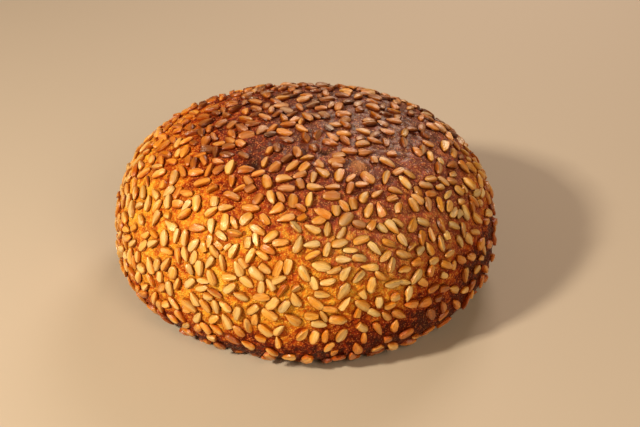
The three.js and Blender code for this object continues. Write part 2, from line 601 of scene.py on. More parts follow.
    def placed(self) -> list[Kernel]:
        """Draws kernels one after the other and keeps each that has room.

        Returns:
            The kernels in the order of their placing.
        """
        kernels: list[Kernel] = []
        spines = np.empty((0, 3))
        reach = np.array([-1.0, 0.0, 1.0])[:, None] * (self.shape.length - self.shape.width) / 2
        for rows in self.draws():
            down, round_it, by_area, by_cover = rows.T[: self.draws_of_place]
            turn = RIM_TURN * down
            angle = 2 * math.pi * round_it
            points = self.form.point(turn, angle)
            area = self.form.area(turn, angle)
            extent = np.linalg.norm(area, axis=1)
            cover = self.cover(points)
            stays = (by_area * self.form.radius**2 < extent) & (by_cover < cover)
            later = by_cover < cover * self.crowd(points)
            for row in np.flatnonzero(stays):
                first = len(kernels) < self.first_count
                if not (first or later[row]):
                    continue
                draw = rows[row, self.draws_of_place :]
                kernel = self.laid(draw, points[row], area[row] / extent[row], len(kernels))
                spine = kernel.middle + reach * kernel.size * kernel.axes[:, 1]
                pack = self.first_pack if first else self.pack
                gaps = np.linalg.norm(spines[:, None] - spine[None], axis=2)
                crowded = gaps.size and gaps.min() < pack * self.shape.width * kernel.size
                if crowded or self.lowest(kernel) <= self.floor_gap:
                    continue
                kernels.append(kernel)
                spines = np.concatenate([spines, spine])
                if len(kernels) == self.count:
                    return kernels


@dataclass(frozen=True)
class BakeAndShadeMap:
    """How dark the crust is: gold low in front and left, dark on the crown and the right; the crown's
    darkness is the oven's, while the darker right side and foot are partly painted shade.
    """

    plain: float = 0.11
    shoulder: Rise = Rise(64 * MM, 98 * MM, 0.52)
    crown: Spot = Spot(10 * MM, 18 * MM, 60 * MM, 0.1)
    scorch: Spot = Spot(-46 * MM, -22 * MM, 36 * MM, 0.06)
    # Darker to the right, away from the key light: partly the crust's colour, partly painted shade.
    right: Rise = Rise(-4 * MM, 82 * MM, 0.21)
    left: Rise = Rise(-5 * MM, -55 * MM, 0.19)
    back: Rise = Rise(0 * MM, 60 * MM, 0.1)
    # Foot, tuck and under: darker towards the base and the right foot, where the surface turns under; partly
    # the crust's colour, partly painted shade.
    foot: Rise = Rise(42 * MM, 14 * MM, 0.27)
    foot_tilt: float = 0.15
    tuck: Rise = Rise(33 * MM, 3 * MM, 0.36)
    under: Spot = Spot(92 * MM, -40 * MM, 40 * MM, 0.25)
    front: Spot = Spot(22 * MM, 30 * MM, 28 * MM, 0.1)
    blotch: float = 0.16
    blotch_size: float = 18 * MM
    blotch_octaves: int = 3
    darkest: float = 0.72
    # The crown's dull dust and a painted sheen: the pale mauve reflection of the light from behind is
    # painted into the colour.
    dust_and_sheen: Rise = Rise(58 * MM, 88 * MM)
    dust_and_sheen_tilt: float = 0.45
    dust_and_sheen_side: Rise = Rise(-70 * MM, 45 * MM)
    dust_and_sheen_left: float = 0.05
    dust_and_sheen_edge: Rise = Rise(104 * MM, 72 * MM)

    def at(self, points: np.ndarray) -> np.ndarray:
        """Gives how dark places of the loaf are.

        Args:
            points: Places, one row each.

        Returns:
            One value from 0 to 1 for each place.
        """
        x, y, z = points.T
        raised = self.shoulder.share(z)
        low = self.foot.share(z - self.foot_tilt * x)
        dark = self.plain + raised * (self.shoulder.most - self.left.at(x))
        dark += self.crown.at(x, y) + self.scorch.at(x, y) + self.right.at(x) + self.back.at(y)
        dark += low * (self.foot.most + self.under.at(x, y)) + self.tuck.at(z)
        dark += np.where(y < 0, self.front.at(x, z), 0.0)
        dark += self.blotch * noise_at(points, self.blotch_size, self.blotch_octaves)
        return np.clip(dark, 0, self.darkest)

    def dust_and_sheen_at(self, points: np.ndarray) -> np.ndarray:
        """Gives how strong the dull dust and the painted sheen are at places of the loaf: the crown, and
        lower down on its right.

        Args:
            points: Places, one row each.

        Returns:
            One value from 0 to 1 for each place.
        """
        x, _, z = points.T
        lift = self.dust_and_sheen_tilt * np.minimum(x, self.dust_and_sheen_side.end)
        side = self.dust_and_sheen_left + (1 - self.dust_and_sheen_left) * self.dust_and_sheen_side.at(x)
        return self.dust_and_sheen.at(z + lift) * self.dust_and_sheen_edge.at(x) * side


@dataclass(frozen=True)
class KernelBakeAndShadeMap(BakeAndShadeMap):
    """How dark the kernels are: paler than the crust, except on the left of the crown; darker to the right
    and at the foot, partly as painted shade.
    """

    plain: float = 0.02
    shoulder: Rise = Rise(64 * MM, 98 * MM, 0.38)
    scorch: Spot = Spot(-46 * MM, -22 * MM, 36 * MM, 0.0)
    # Darker to the right, partly painted shade.
    right: Rise = Rise(-12 * MM, 82 * MM, 0.15)
    left: Rise = Rise(-5 * MM, -55 * MM, -0.14)
    # Darker at the foot and the base, partly painted shade.
    foot: Rise = Rise(42 * MM, 14 * MM, 0.16)
    tuck: Rise = Rise(33 * MM, 3 * MM, 0.16)
    under: Spot = Spot(92 * MM, -40 * MM, 40 * MM, 0.0)
    front: Spot = Spot(22 * MM, 30 * MM, 28 * MM, 0.0)
    dust_and_sheen_left: float = 0.5


class NodeSheet:
    """A node tree with short calls that add and join nodes."""

    def __init__(self, tree: bpy.types.NodeTree) -> None:
        """Starts on a node tree."""
        self.tree = tree

    def fill(self, node: bpy.types.Node, inputs: Inputs) -> None:
        """Sets or links inputs of a node.

        Args:
            node: The node.
            inputs: Values or output sockets by the input's name or number.
        """
        for name, value in inputs.items():
            if isinstance(value, Socket):
                self.tree.links.new(value, node.inputs[name])
            else:
                node.inputs[name].default_value = value

    def add(self, kind: str, inputs: Inputs | None = None, **settings: object) -> bpy.types.Node:
        """Adds a node.

        Args:
            kind: The node's type, without the words that all shader nodes start with.
            inputs: Values or output sockets by the input's name or number.
            settings: The node's own settings.

        Returns:
            The node.
        """
        node = self.tree.nodes.new("ShaderNode" + kind)
        for name, value in settings.items():
            setattr(node, name, value)
        self.fill(node, inputs or {})
        return node

    def group(self, tree: bpy.types.NodeTree, **inputs: object) -> Socket:
        """Places a node group, with values or output sockets by its inputs' names."""
        return self.add("Group", inputs, node_tree=tree).outputs[0]

    def math(self, operation: str, *values: object, clamp: bool = False) -> Socket:
        """Works out values or output sockets, and holds the result from 0 to 1 on request."""
        inputs = dict(enumerate(values))
        return self.add("Math", inputs, operation=operation, use_clamp=clamp).outputs[0]

    def swing(self, mask: Socket, most: float) -> Socket:
        """Turns a mask from 0 to 1 into a value that swings about 0, by most from end to end."""
        middle = 0.5
        return self.math("MULTIPLY", self.math("SUBTRACT", mask, middle), most)

    def rest(self, mask: Socket) -> Socket:
        """Gives what a mask leaves of 1."""
        return self.math("SUBTRACT", 1.0, mask)

    def spread(self, mask: Socket, ends: Pair) -> Socket:
        """Spreads a mask from 0 to 1 evenly between two ends."""
        inputs = {"Value": mask, "To Min": ends[0], "To Max": ends[1]}
        return self.add("MapRange", inputs).outputs[0]

    def eased(self, value: Socket, low: object, high: object) -> Socket:
        """Eases a value into a mask, 0 at low and 1 at high."""
        inputs = {"Value": value, "From Min": low, "From Max": high}
        return self.add("MapRange", inputs, interpolation_type="SMOOTHSTEP").outputs[0]

    def attribute(self, name: str, output: str = "Fac") -> Socket:
        """Reads an attribute of the mesh."""
        return self.add("Attribute", attribute_name=name).outputs[output]

    def mix(self, share: object, first: object, second: object, blend: str = "MIX") -> Socket:
        """Mixes a share of a second colour into a first, each a value or an output socket."""
        inputs = dict(zip(MIX_INPUTS, (share, first, second)))
        return self.add("Mix", inputs, data_type="RGBA", blend_type=blend).outputs[MIX_RESULT]

    def ramp(self, value: Socket, stops: Stops) -> Socket:
        """Turns a value into a colour.

        Args:
            value: The value's socket.
            stops: Places from 0 to 1 with their colours.

        Returns:
            The colour's socket.
        """
        node = self.add("ValToRGB", {0: value})
        elements = node.color_ramp.elements
        while len(elements) < len(stops):
            elements.new(1.0)
        for element, (place, code) in zip(elements, stops):
            element.position = place
            element.color = linear(code)
        return node.outputs[0]


def new_group(name: str, inputs: dict[str, float], output: str) -> NodeSheet:
    """Starts a shader node group that reads a place and values and puts out one value.

    Args:
        name: The group's name.
        inputs: The names of the values, with what each is at first.
        output: The name of the value that it puts out.

    Returns:
        The group's sheet, with an input and an output node on it.
    """
    tree = bpy.data.node_groups.new(name, "ShaderNodeTree")
    tree.interface.new_socket(name="Vector", in_out="INPUT", socket_type="NodeSocketVector")
    for socket, value in inputs.items():
        made = tree.interface.new_socket(name=socket, in_out="INPUT", socket_type="NodeSocketFloat")
        made.default_value = value
    tree.interface.new_socket(name=output, in_out="OUTPUT", socket_type="NodeSocketFloat")
    tree.nodes.new("NodeGroupInput")
    tree.nodes.new("NodeGroupOutput")
    return NodeSheet(tree)


@dataclass
class Effects:
    """The shader node groups that both finishes use: soft uneven spots and a fine granular skin."""

    detail: float = 3.0
    finer: float = 2.1
    finer_height: float = 0.35
    pit_level: Pair = (0.7, 0.3)
    top_level: Pair = (1.4, 0.7)
    mottle: bpy.types.NodeTree = field(init=False)
    grain: bpy.types.NodeTree = field(init=False)

    def __post_init__(self) -> None:
        """Makes the groups."""
        self.mottle = self.mottle_group()
        self.grain = self.grain_group()

    def mottle_group(self) -> bpy.types.NodeTree:
        """Makes the group that puts out soft uneven spots, from 0 to 1.

        Returns:
            The group's tree.
        """
        sheet = new_group("mottle", {"Scale": 200.0, "Low": 0.35, "High": 0.65}, "Mask")
        start = sheet.tree.nodes["Group Input"].outputs
        place = {"Vector": start["Vector"], "Scale": start["Scale"]}
        cloud = sheet.add("TexNoise", {**place, "Detail": self.detail})
        mask = sheet.eased(cloud.outputs[0], start["Low"], start["High"])
        sheet.fill(sheet.tree.nodes["Group Output"], {"Mask": mask})
        return sheet.tree

    def grain_group(self) -> bpy.types.NodeTree:
        """Makes the group that puts out the height of a granular skin, from 0 in its pits to 1.

        Returns:
            The group's tree.
        """
        sheet = new_group("grain", {"Scale": 500.0, "Cells": 0.6}, "Height")
        start = sheet.tree.nodes["Group Input"].outputs
        place, cells = start["Vector"], start["Cells"]
        finer = sheet.math("MULTIPLY", start["Scale"], self.finer)
        domes = []
        for scale in (start["Scale"], finer):
            net = sheet.add("TexVoronoi", {"Vector": place, "Scale": scale}, feature="F1")
            domes.append(sheet.rest(net.outputs["Distance"]))
        dome = sheet.math("MULTIPLY_ADD", domes[1], self.finer_height, domes[0])
        cloud = sheet.add("TexNoise", {"Vector": place, "Scale": finer, "Detail": self.detail})
        total = sheet.math("MULTIPLY_ADD", dome, cells, cloud.outputs[0])
        low, high = (sheet.math("MULTIPLY_ADD", cells, *level) for level in (self.pit_level, self.top_level))
        height = sheet.add("MapRange", {"Value": total, "From Min": low, "From Max": high})
        sheet.fill(sheet.tree.nodes["Group Output"], {"Height": height.outputs[0]})
        return sheet.tree

    def spots(self, sheet: NodeSheet, place: Socket, rate: float, edges: Pair) -> Socket:
        """Places the spots on a material's sheet, with their rate and the noise that gives 0 and 1."""
        return sheet.group(self.mottle, Vector=place, Scale=rate, Low=edges[0], High=edges[1])

    def skin(self, sheet: NodeSheet, place: Socket, rate: float, cells: float) -> Socket:
        """Places the granular skin on a material's sheet, with its rate and the share of round cells."""
        return sheet.group(self.grain, Vector=place, Scale=rate, Cells=cells)


def new_material(name: str) -> tuple[bpy.types.Material, NodeSheet, bpy.types.Node]:
    """Starts a material on a Principled shader.

    Args:
        name: The material's name.

    Returns:
        The material, its sheet and its shader.
    """
    material = bpy.data.materials.new(name)
    material.use_nodes = True
    sheet = NodeSheet(material.node_tree)
    return material, sheet, material.node_tree.nodes["Principled BSDF"]


@dataclass(frozen=True)
class CrustFinish:
    """Baked crust: gold through amber to dark brown, granular, with dull dust and a painted sheen on the
    crown; its glints, and the shade in its hollows, pits and round its kernels, are painted.
    """

    colours: Stops = (
        (0.0, "FFD45C"),
        (0.15, "F8BE3C"),
        (0.32, "EA9E2C"),
        (0.5, "CA6616"),
        (0.7, "902C02"),
        (0.85, "5E1803"),
        (1.0, "451406"),
    )
    spot_edges: Pair = (0.3, 0.7)
    broad_rate: float = 150.0
    broad: float = 0.14
    fine_rate: float = 520.0
    fine: float = 0.12
    # Painted shade and highlight: the knobs' hollows darker, their tops paler.
    knob: float = 0.3
    grain_rate: float = 860.0
    grain_cells: float = 1.0
    # Painted shade and highlight: the granular skin darker in its pits, paler on its grains.
    grain: float = 0.6
    grain_height: float = 0.9 * MM
    # Dull dust and painted sheen: a mauve colour mixed in on the crown.
    dust_and_sheen: str = "A27062"
    dust_and_sheen_by_skin: Pair = (0.45, 1.0)
    dust_and_sheen_most: float = 0.66
    # Painted highlight: pale glints on the tops of the skin's grains, most on the crown.
    painted_glint: str = "F6C07E"
    painted_glint_edges: Pair = (0.26, 0.56)
    painted_glint_spread: Pair = (0.3, 0.72)
    painted_glint_most: float = 1.0
    # Painted shade: a dark red-brown contact shadow painted round each kernel.
    painted_contact_shade: str = "8A3000"
    painted_contact_shade_most: float = 0.64
    blister: str = "C88A58"
    blister_most: float = 0.65
    # Painted shade: near-black brown in the burst hole and the empty seat, spread past their edges.
    hollow: str = "2C140A"
    hollow_shade_most: float = 0.9
    roughness: Pair = (0.4, 0.58)
    specular: float = 0.14
    coat: float = 0.3
    coat_roughness: float = 0.3
    # Painted shade in the small pits.
    pit: str = "6E2402"
    pit_rate: float = 95.0
    pit_edges: Pair = (0.16, 0.08)
    pit_share: float = 0.45
    pit_shade_most: float = 0.75
    pit_depth: float = 0.8

    def material(self, effects: Effects) -> bpy.types.Material:
        """Makes the material.

        Args:
            effects: The shared node groups.

        Returns:
            The material.
        """
        material, sheet, shader = new_material("crust")
        place = sheet.add("TexCoord").outputs["Object"]
        names = ("bake_and_shade", "dust_and_sheen", "knob", "painted_contact_shade", "blister", "hollow")
        bake_and_shade, dust_and_sheen, knob, painted_contact_shade, blister, hollow = map(sheet.attribute, names)
        broad = effects.spots(sheet, place, self.broad_rate, self.spot_edges)
        fine = effects.spots(sheet, place, self.fine_rate, self.spot_edges)
        skin = effects.skin(sheet, place, self.grain_rate, self.grain_cells)
        pits = self.pits(sheet, place)
        dark = bake_and_shade
        # The knobs and the granular skin paint their hollows darker as shade and their tops paler as
        # highlight.
        for mask, most in ((broad, self.broad), (fine, self.fine), (knob, -self.knob), (skin, -self.grain)):
            dark = sheet.math("ADD", dark, sheet.swing(mask, most))
        colour = sheet.ramp(dark, self.colours)
        dust_and_sheen_mask = sheet.math("MULTIPLY", dust_and_sheen, sheet.spread(skin, self.dust_and_sheen_by_skin))
        # Painted glints where the granular skin stands highest.
        painted_glints = sheet.eased(skin, *self.painted_glint_edges)
        painted_glints = sheet.math("MULTIPLY", painted_glints, sheet.spread(dust_and_sheen, self.painted_glint_spread))
        layers = (
            (dust_and_sheen_mask, self.dust_and_sheen_most, self.dust_and_sheen),
            (painted_glints, self.painted_glint_most, self.painted_glint),
            (blister, self.blister_most, self.blister),
            # Painted shade in the pits.
            (pits, self.pit_shade_most, self.pit),
            # Painted shade round the kernels.
            (painted_contact_shade, self.painted_contact_shade_most, self.painted_contact_shade),
            # Painted shade in the hollows.
            (hollow, self.hollow_shade_most, self.hollow),
        )
        for mask, most, code in layers:
            colour = sheet.mix(sheet.math("MULTIPLY", mask, most, clamp=True), colour, linear(code))
        height = sheet.math("SUBTRACT", skin, sheet.math("MULTIPLY", pits, self.pit_depth))
        inputs = {
            "Base Color": colour,
            "Roughness": sheet.spread(fine, self.roughness),
            "Coat Weight": sheet.math("MULTIPLY", dust_and_sheen, self.coat),
            "Normal": sheet.add("Bump", {"Height": height, "Distance": self.grain_height}).outputs[0],
            "Specular IOR Level": self.specular,
            "Coat Roughness": self.coat_roughness,
        }
        sheet.fill(shader, inputs)
        return material

    def pits(self, sheet: NodeSheet, place: Socket) -> Socket:
        """Adds small burst bubbles, in some of the cells of a loose net; the finish paints them darker as
        the shade in them.

        Args:
            sheet: The material's sheet.
            place: The socket of the place on the loaf.

        Returns:
            The socket of a mask, 1 in a pit.
        """
        cells = sheet.add("TexVoronoi", {"Vector": place, "Scale": self.pit_rate})
        lot = sheet.add("SeparateColor", {0: cells.outputs["Color"]}).outputs[0]
        chosen = sheet.math("LESS_THAN", lot, self.pit_share)
        return sheet.math("MULTIPLY", sheet.eased(cells.outputs["Distance"], *self.pit_edges), chosen)


@dataclass(frozen=True)
class KernelFinish:
    """Toasted sunflower kernel: golden to brown, with a painted cream highlight on its crest and painted
    amber shade and glow towards its sunken rim.
    """

    colours: Stops = (
        (0.0, "FFDA7A"),
        (0.25, "FCB434"),
        (0.5, "E08418"),
        (0.75, "98541C"),
        (1.0, "60300E"),
    )
    # Painted highlight: a cream tint on each kernel's top, greyer under the dust and sheen.
    crest_highlight: str = "F4DEB0"
    sheen_crest_highlight: str = "D6C4AC"
    crest_highlight_edges: Pair = (0.5, 0.08)
    crest_highlight_most: Pair = (0.6, 0.72)
    crest_highlight_loss: float = 1.7
    # Painted shade and a painted amber glow: each kernel's sides and underside are multiplied darker and
    # more amber.
    rim: str = "C28020"
    crown_rim_shade: str = "744424"
    rim_shade_most: float = 0.92
    spot_rate: float = 240.0
    spot_edges: Pair = (0.3, 0.7)
    spots: float = 0.36
    streak: str = "AE6620"
    streak_rate: float = 800.0
    streak_edges: Pair = (0.45, 0.7)
    streak_most: float = 0.4
    light: Pair = (0.74, 0.96)
    roughness: Pair = (0.3, 0.44)
    specular: float = 0.62
    grain_rate: float = 600.0
    grain_cells: float = 0.2
    grain_height: float = 0.25 * MM

    def material(self, effects: Effects) -> bpy.types.Material:
        """Makes the material.

        Args:
            effects: The shared node groups.

        Returns:
            The material.
        """
        material, sheet, shader = new_material("kernel")
        toast, tone, rim, dust_and_sheen = map(sheet.attribute, ("toast", "tone", "rim", "dust_and_sheen"))
        place = sheet.attribute("lengthwise", "Vector")
        streaks = effects.spots(sheet, place, self.streak_rate, self.streak_edges)
        spots = effects.spots(sheet, place, self.spot_rate, self.spot_edges)
        skin = effects.skin(sheet, place, self.grain_rate, self.grain_cells)
        crest_highlight = sheet.mix(dust_and_sheen, linear(self.crest_highlight), linear(self.sheen_crest_highlight))
        # Colour of the painted shade on the kernel's sides, darker on the crown.
        edge = sheet.mix(dust_and_sheen, linear(self.rim), linear(self.crown_rim_shade))
        colour = sheet.ramp(sheet.math("ADD", toast, sheet.swing(spots, self.spots)), self.colours)
        colour = sheet.mix(sheet.math("MULTIPLY", streaks, self.streak_most), colour, linear(self.streak))
        # Painted highlight on the kernel tops.
        colour = sheet.mix(self.crest_highlights(sheet, toast, rim, dust_and_sheen, spots), colour, crest_highlight)
        # Painted shade and amber glow on the kernel's sides.
        colour = sheet.mix(sheet.math("MULTIPLY", rim, self.rim_shade_most), colour, edge, "MULTIPLY")
        colour = sheet.mix(1.0, colour, sheet.spread(tone, self.light), "MULTIPLY")
        inputs = {
            "Base Color": colour,
            "Roughness": sheet.spread(streaks, self.roughness),
            "Normal": sheet.add("Bump", {"Height": skin, "Distance": self.grain_height}).outputs[0],
            "Specular IOR Level": self.specular,
        }
        sheet.fill(shader, inputs)
        return material

    def crest_highlights(self, sheet: NodeSheet, toast: Socket, rim: Socket, dust_and_sheen: Socket, spots: Socket) -> Socket:
        """Paints a cream highlight on the crests: more under the loaf's dust and sheen, less on a toasted
        kernel.

        Args:
            sheet: The material's sheet.
            toast: The socket of how toasted the kernel is.
            rim: The socket of the nearness to the rim.
            dust_and_sheen: The socket of the loaf's dust and painted sheen.
            spots: The socket of the mask that breaks the skin up.

        Returns:
            The socket of the share of painted highlight.
        """
        baked = sheet.math("MULTIPLY", toast, self.crest_highlight_loss, clamp=True)
        loss = sheet.math("MULTIPLY", baked, sheet.rest(dust_and_sheen))
        share = sheet.eased(rim, *self.crest_highlight_edges)
        for factor in (sheet.spread(dust_and_sheen, self.crest_highlight_most), sheet.rest(spots), sheet.rest(loss)):
            share = sheet.math("MULTIPLY", share, factor)
        return share


def new_piece(
    name: str, mesh: bpy.types.Mesh, material: bpy.types.Material, values: dict[str, np.ndarray]
) -> bpy.types.Object:
    """Puts a mesh into the scene with smooth faces.

    Args:
        name: The piece's name.
        mesh: Its mesh, in the loaf's own frame.
        material: Its finish.
        values: A number or three numbers for each vertex, by the name of their attribute.

    Returns:
        The piece.
    """
    for attribute, rows in values.items():
        kind, slot = ("FLOAT", "value") if rows.ndim == 1 else ("FLOAT_VECTOR", "vector")
        layer = mesh.attributes.new(attribute, kind, "POINT")
        layer.data.foreach_set(slot, np.ascontiguousarray(rows, dtype=np.float32).ravel())
    mesh.polygons.foreach_set("use_smooth", np.ones(len(mesh.polygons), dtype=bool))
    mesh.materials.append(material)
    mesh.update()
    piece = bpy.data.objects.new(name, mesh)
    bpy.context.scene.collection.objects.link(piece)
    return piece


def vertices_of(mesh: bpy.types.Mesh) -> np.ndarray:
    """Reads a mesh's vertices.

    Args:
        mesh: The mesh.

    Returns:
        Places, one row each.
    """
    places = np.empty(len(mesh.vertices) * 3)
    mesh.vertices.foreach_get("co", places)
    return places.reshape(-1, 3)


@dataclass(frozen=True)
class Bumps:
    """Bumps of the crust, by their usual size and how high they are."""

    size: float
    height: float


@dataclass
class Crust:
    """The loaf's crust as one closed skin, with its blister, its hollows and the seats of its kernels."""

    form: LoafForm
    shape: KernelShape
    kernels: list[Kernel]
    bake_and_shade: BakeAndShadeMap
    marks: tuple[CrustMark, ...]
    grid: int = 148
    rings: int = 128
    base_rings: int = 3
    crown_share: float = 0.385
    search: float = 9 * MM
    octaves: int = 2
    lumps: Bumps = Bumps(9 * MM, 0.5 * MM)
    knobs: Bumps = Bumps(3.6 * MM, 0.55 * MM)
    knob_offset: float = 7.3
    knob_full: float = 0.5 * MM
    grains: Bumps = Bumps(2.6 * MM, 0.75 * MM)
    grain_level: float = 0.45
    halo_full: float = 0.2
    lip: float = 0.22 * MM
    lip_reach: float = 1.3 * MM
    seat: Rise = Rise(0.7 * MM, 0.0 * MM, 0.5 * MM)
    # How far the painted contact shadow reaches out from each kernel.
    painted_contact_shade_reach: float = 0.9 * MM
    clear: Rise = Rise(0.0 * MM, 1.2 * MM)
    rim: Rise = Rise(RIM_TURN, 0.8 * RIM_TURN)

    def skin(self) -> bpy.types.Mesh:
        """Makes the closed net: a square grid for the crown, a band down the side and a fan under the base.

        Returns:
            A mesh of places on the net, with z from 0 to -1 down the side and on to -2 under the base.
        """
        net = bmesh.new()
        bmesh.ops.create_grid(net, x_segments=self.grid, y_segments=self.grid, size=1.0)
        edge = [e for e in net.edges if e.is_boundary]
        for cuts in (self.rings - 1, self.base_rings - 1):
            made = bmesh.ops.extrude_edge_only(net, edges=edge)["geom"]
            lower = [v for v in made if isinstance(v, bmesh.types.BMVert)]
            bmesh.ops.translate(net, verts=lower, vec=(0, 0, -1))
            edge = [e for e in made if isinstance(e, bmesh.types.BMEdge) and e.is_boundary]
            upright = [e for v in lower for e in v.link_edges if not e.is_boundary]
            bmesh.ops.subdivide_edges(net, edges=upright, cuts=cuts, use_grid_fill=True)
        rim = list(dict.fromkeys(v for e in edge for v in e.verts))
        bmesh.ops.pointmerge(net, verts=rim, merge_co=(0, 0, -2))
        bmesh.ops.recalc_face_normals(net, faces=net.faces)
        mesh = bpy.data.meshes.new("crust")
        net.to_mesh(mesh)
        net.free()
        return mesh

    def net_places(self, net: np.ndarray) -> tuple[np.ndarray, np.ndarray]:
        """Turns places on the net into turn and angle on the loaf.

        Args:
            net: The net's vertices, one row each.

        Returns:
            Turns and angles.
        """
        x, y, z = net.T
        wide = np.abs(x) > np.abs(y)
        reach = np.maximum(np.maximum(np.abs(x), np.abs(y)), TINY)
        eighth = math.pi / 4
        sideways = np.where(x < 0, math.pi, 0) + eighth * y / np.where(wide, x, 1)
        divisor = np.where(wide | (y == 0), 1, y)
        upwards = np.where(y < 0, -math.pi / 2, math.pi / 2) - eighth * x / divisor
        side = self.crown_share - np.maximum(z, -1) * (1 - self.crown_share)
        turn = self.form.turn_at(np.where(z < 0, side, self.crown_share * reach))
        return np.where(z < -1, RIM_TURN - 1 - z, turn), np.where(wide, sideways, upwards)

    def kernel_gap(self, points: np.ndarray) -> np.ndarray:
        """Gives the distance to the skin of the nearest kernel, below 0 inside it.

        Args:
            points: Places on the crust, one row each.

        Returns:
            One distance for each place, at most the reach that was searched.
        """
        gap = np.full(len(points), self.search)
        tree = KDTree(len(points))
        for index, point in enumerate(points):
            tree.insert(point, index)
        tree.balance()
        for kernel in self.kernels:
            near = np.array([found[1] for found in tree.find_range(kernel.middle, self.search)])
            local = (points[near] - kernel.middle) @ kernel.axes
            gap[near] = np.minimum(gap[near], self.shape.gap(kernel, local))
        return gap

    def knob(self, points: np.ndarray, gap: np.ndarray) -> np.ndarray:
        """Gives how far the knobs and grains of the open crust stand out.

        Args:
            points: Places on the plain form, one row each.
            gap: The distance to the nearest kernel at each of them.

        Returns:
            One height for each place, below 0 in the hollows between knobs.
        """
        height = self.knobs.height * noise_at(points, self.knobs.size, self.octaves, self.knob_offset)
        height += self.grains.height * (self.grain_level - cells_at(points, self.grains.size))
        return height * self.clear.at(gap)

    def relief(self, points: np.ndarray, gap: np.ndarray) -> np.ndarray:
        """Gives how far the crust stands out of its plain form by its slow lumps and the seats of kernels.

        Args:
            points: Places on the plain form, one row each.
            gap: The distance to the nearest kernel at each of them.

        Returns:
            One height for each place.
        """
        height = self.lumps.height * noise_at(points, self.lumps.size, self.octaves)
        height += self.lip * np.exp(-(((gap - self.lip_reach) / self.lip_reach) ** 2))
        return height - self.seat.at(gap)

    def build(self, material: bpy.types.Material) -> bpy.types.Object:
        """Makes the crust.

        Args:
            material: Its finish.

        Returns:
            The piece.
        """
        mesh = self.skin()
        turn, angle = self.net_places(vertices_of(mesh))
        points = self.form.point(turn, angle)
        area = self.form.area(np.maximum(turn, 2 * TURN_STEP), angle)
        out = area / np.linalg.norm(area, axis=1, keepdims=True)
        gap = self.kernel_gap(points)
        knob = self.knob(points, gap)
        relief = knob + self.relief(points, gap)
        upper = points[:, 2] > self.form.widest
        masks = {kind.value: np.zeros(len(points)) for kind in MarkKind}
        for mark in self.marks:
            apart = mark.apart(points)
            relief += mark.height * np.sqrt(np.maximum(0, 1 - apart**2)) * upper
            mask = masks[mark.kind.value]
            # The mask reaches past the mark's edge, for the blister's tint and the painted shade of the
            # hollows.
            np.maximum(mask, smooth_step(mark.halo, self.halo_full, apart) * upper, out=mask)
        points += out * (relief * self.rim.at(turn))[:, None]
        mesh.vertices.foreach_set("co", points.ravel())
        values = {
            "bake_and_shade": self.bake_and_shade.at(points),
            # Mask of the dull dust and painted sheen.
            "dust_and_sheen": self.bake_and_shade.dust_and_sheen_at(points),
            # Mask of the knobs' height, for the painted shade in their hollows and highlight on their tops.
            "knob": smooth_step(-self.knob_full, self.knob_full, knob),
            # Mask of the painted contact shadow round the kernels.
            "painted_contact_shade": np.exp(-((np.maximum(gap, 0) / self.painted_contact_shade_reach) ** 2)),
            **masks,
        }
        return new_piece("crust", mesh, material, values)


